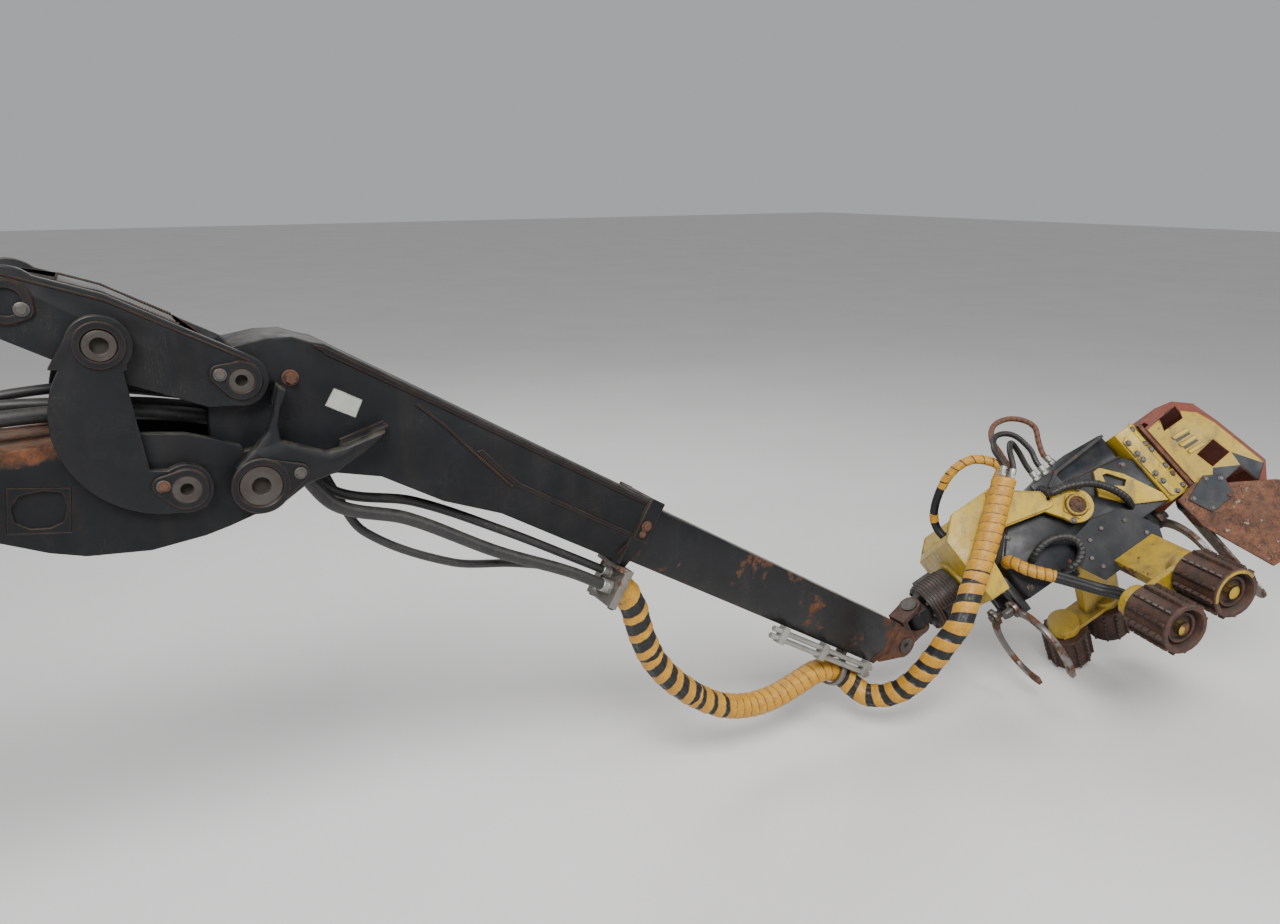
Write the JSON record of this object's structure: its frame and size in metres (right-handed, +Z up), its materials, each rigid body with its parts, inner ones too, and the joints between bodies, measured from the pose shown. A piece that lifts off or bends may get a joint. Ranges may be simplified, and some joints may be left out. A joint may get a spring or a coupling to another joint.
{
  "type": "harvester crane boom with harvester head",
  "caption": "Black folding crane boom with linkage, telescopic jib, hose bundle and a yellow tree harvester head with saw box, feed rollers and delimbing knives.",
  "frame": {"origin": "centre of the main boom's foot bore", "axes": "+X forward along the crane, +Y across to its far side along the foot bore, +Z up"},
  "size_m": [8.9644, 1.5824, 2.6158],
  "materials": {
    "black_steel": "worn black paint with brown rust at the edges",
    "yellow_paint": "chipped ochre yellow paint over rust",
    "rusty_steel": "bare rusty steel",
    "worn_steel": "dull worn steel",
    "blade_steel": "scraped steel",
    "rod_chrome": "polished rod",
    "pale_pipe": "pale zinc on pipes",
    "hose_rubber": "dusty black rubber",
    "yellow_wrap": "orange yellow spiral wrap with dark seams"
  },
  "bodies": {
    "main_boom": {"main_boom": "black_steel", "foot_boss": "black_steel", "boom_lugs": "black_steel", "boom_tip": "black_steel", "boom_pipes": "worn_steel", "cylinder_foot_pin": "worn_steel"},
    "rocker": {"rocker_plates": "black_steel", "rocker_pins": "worn_steel"},
    "upper_arm": {"upper_arm": "black_steel", "horn_pin_bar": "worn_steel"},
    "cylinder_barrel": {"jib_cylinder_barrel": "black_steel"},
    "cylinder_rod": {"jib_cylinder_rod": "rod_chrome"},
    "jib": {"jib": "black_steel", "jib_castings": "black_steel", "jib_pivot_pin": "worn_steel", "hose_bracket": "worn_steel", "hose_thick": "hose_rubber", "hose_thin": "hose_rubber", "hose_third": "hose_rubber"},
    "extension": {"extension": "black_steel", "extension_tip": "rusty_steel", "extension_pipes": "pale_pipe", "bundle_clamp": "worn_steel", "bundle_loop": "yellow_wrap"},
    "swing_link": {"swing_link": "black_steel", "swing_pin": "worn_steel", "cross_pin": "worn_steel", "bundle_tail_link": "yellow_wrap"},
    "rotator": {"rotator_housing": "black_steel", "bundle_tail_cross": "yellow_wrap"},
    "hanger": {"hanger": "yellow_paint", "bundle_tail_hanger": "yellow_wrap", "bundle_rise": "yellow_wrap", "hose_sleeve": "yellow_wrap"},
    "head": {"head_frame": "black_steel", "tilt_pins": "worn_steel", "hood": "black_steel", "hose_ports": "worn_steel", "window_brackets": "yellow_paint", "side_covers": "black_steel", "guard_box": "yellow_paint", "saw_box": "yellow_paint", "saw_cover": "rusty_steel", "saw_gear": "black_steel", "head_pins": "worn_steel", "hose_arc_one": "hose_rubber", "hose_arc_two": "hose_rubber", "hose_arc_brown": "hose_rubber"},
    "feed_arm_near": {"feed_arm_near": "yellow_paint", "hose_small": "yellow_wrap"},
    "feed_arm_far": {"feed_arm_far": "yellow_paint"},
    "roller_near_rear": {"roller_near_rear": "rusty_steel"},
    "roller_near_front": {"roller_near_front": "rusty_steel"},
    "roller_far_rear": {"roller_far_rear": "rusty_steel"},
    "roller_far_front": {"roller_far_front": "rusty_steel"},
    "upper_knife_near": {"upper_knife_near": "blade_steel"},
    "upper_knife_far": {"upper_knife_far": "blade_steel"},
    "lower_knife_near": {"lower_knife_near": "blade_steel"},
    "lower_knife_far": {"lower_knife_far": "blade_steel"},
    "saw_bar": {"saw_bar": "blade_steel"}
  },
  "joints": [
    {"name": "jib_fold", "type": "hinge", "parent": "main_boom", "child": "jib", "pos_m": [3.94, 0, -0.62], "axis": [0, 1, 0], "range_deg": [-10, 105], "deforming": ["hose_thick", "hose_thin", "hose_third"]},
    {"name": "rocker_turn", "type": "hinge", "parent": "main_boom", "child": "rocker", "pos_m": [3.74, 0, -0.598], "axis": [0, 1, 0], "range_deg": [-9, 80]},
    {"name": "arm_turn", "type": "hinge", "parent": "jib", "child": "upper_arm", "pos_m": [3.928, 0, -0.304], "axis": [0, 1, 0], "range_deg": [-61, 7]},
    {"name": "jib_rod", "type": "slide", "parent": "cylinder_barrel", "child": "cylinder_rod", "axis": [0.9996, 0, 0.0273], "range_m": [-0.08, 0.75]},
    {"name": "cylinder_turn", "type": "hinge", "parent": "main_boom", "child": "cylinder_barrel", "pos_m": [1.89, 0, -0.08], "axis": [0, 1, 0], "range_deg": [-1, 1]},
    {"name": "extension_slide", "type": "slide", "parent": "jib", "child": "extension", "axis": [0.8526, 0, -0.5225], "range_m": [-0.85, 0.15], "deforming": ["bundle_loop"]},
    {"name": "tip_swing", "type": "hinge", "parent": "extension", "child": "swing_link", "pos_m": [6.93329, 0, -2.03207], "axis": [0, 1, 0], "range_deg": [-10, 150], "deforming": ["bundle_tail_link"]},
    {"name": "cross_swing", "type": "hinge", "parent": "swing_link", "child": "rotator", "pos_m": [7.0787, 0, -1.94401], "axis": [-0.518, 0, 0.8554], "range_deg": [-27, 53], "deforming": ["bundle_tail_cross"]},
    {"name": "rotator_turn", "type": "hinge", "parent": "rotator", "child": "hanger", "pos_m": [7.29706, -0.05894, -1.81176], "axis": [0.8334, -0.225, 0.5048], "range_deg": [-120, 120], "deforming": ["bundle_tail_hanger"]},
    {"name": "head_tilt", "type": "hinge", "parent": "hanger", "child": "head", "pos_m": [7.84963, -0.20808, -1.47711], "axis": [-0.5063, -0.6769, 0.5343], "range_deg": [0, 110], "deforming": ["hose_arc_one", "hose_arc_two", "hose_arc_brown"]},
    {"name": "arm_near", "type": "hinge", "parent": "head", "child": "feed_arm_near", "pos_m": [7.81544, -0.53293, -1.56543], "axis": [0.8334, -0.225, 0.5048], "range_deg": [0, 52], "deforming": ["hose_small"]},
    {"name": "arm_far", "type": "hinge", "parent": "head", "child": "feed_arm_far", "pos_m": [8.00783, -0.27573, -1.76848], "axis": [-0.8334, 0.225, -0.5048], "range_deg": [0, 52]},
    {"name": "roller_near_rear_spin", "type": "hinge", "parent": "feed_arm_near", "child": "roller_near_rear", "pos_m": [7.5486, -1.02023, -1.63917], "axis": [0.2626, 0.9649, -0.0036], "continuous": true},
    {"name": "roller_near_front_spin", "type": "hinge", "parent": "feed_arm_near", "child": "roller_near_front", "pos_m": [7.78613, -1.08434, -1.49532], "axis": [0.2626, 0.9649, -0.0036], "continuous": true},
    {"name": "roller_far_rear_spin", "type": "hinge", "parent": "feed_arm_far", "child": "roller_far_rear", "pos_m": [8.17188, -0.18699, -2.29698], "axis": [-0.5353, -0.1018, 0.8385], "continuous": true},
    {"name": "roller_far_front_spin", "type": "hinge", "parent": "feed_arm_far", "child": "roller_far_front", "pos_m": [8.40941, -0.2511, -2.15313], "axis": [-0.5353, -0.1018, 0.8385], "continuous": true},
    {"name": "upper_knife_near_turn", "type": "hinge", "parent": "head", "child": "upper_knife_near", "pos_m": [7.83806, -0.46779, -1.57376], "axis": [0.8334, -0.225, 0.5048], "range_deg": [-15, 30]},
    {"name": "upper_knife_far_turn", "type": "hinge", "parent": "head", "child": "upper_knife_far", "pos_m": [7.9697, -0.29181, -1.71269], "axis": [-0.8334, 0.225, -0.5048], "range_deg": [-15, 30]},
    {"name": "lower_knife_near_turn", "type": "hinge", "parent": "head", "child": "lower_knife_near", "pos_m": [7.84914, -0.50284, -1.60766], "axis": [0.8334, -0.225, 0.5048], "range_deg": [-15, 30]},
    {"name": "lower_knife_far_turn", "type": "hinge", "parent": "head", "child": "lower_knife_far", "pos_m": [7.98077, -0.32686, -1.74659], "axis": [-0.8334, 0.225, -0.5048], "range_deg": [-15, 30]},
    {"name": "saw_swing", "type": "hinge", "parent": "head", "child": "saw_bar", "pos_m": [8.19519, -0.68058, -1.32712], "axis": [0.8334, -0.225, 0.5048], "range_deg": [0, 88]}
  ],
  "couplings": [
    {"joint": "rocker_turn", "follows": "jib_fold", "ratio": 0.75},
    {"joint": "arm_turn", "follows": "jib_fold", "ratio": -0.57},
    {"joint": "jib_rod", "follows": "jib_fold", "m_per_rad": 0.395},
    {"joint": "cylinder_turn", "follows": "jib_fold", "ratio": 0.002},
    {"joint": "arm_far", "follows": "arm_near", "ratio": 1},
    {"joint": "upper_knife_far_turn", "follows": "upper_knife_near_turn", "ratio": 1},
    {"joint": "lower_knife_far_turn", "follows": "lower_knife_near_turn", "ratio": 1}
  ]
}
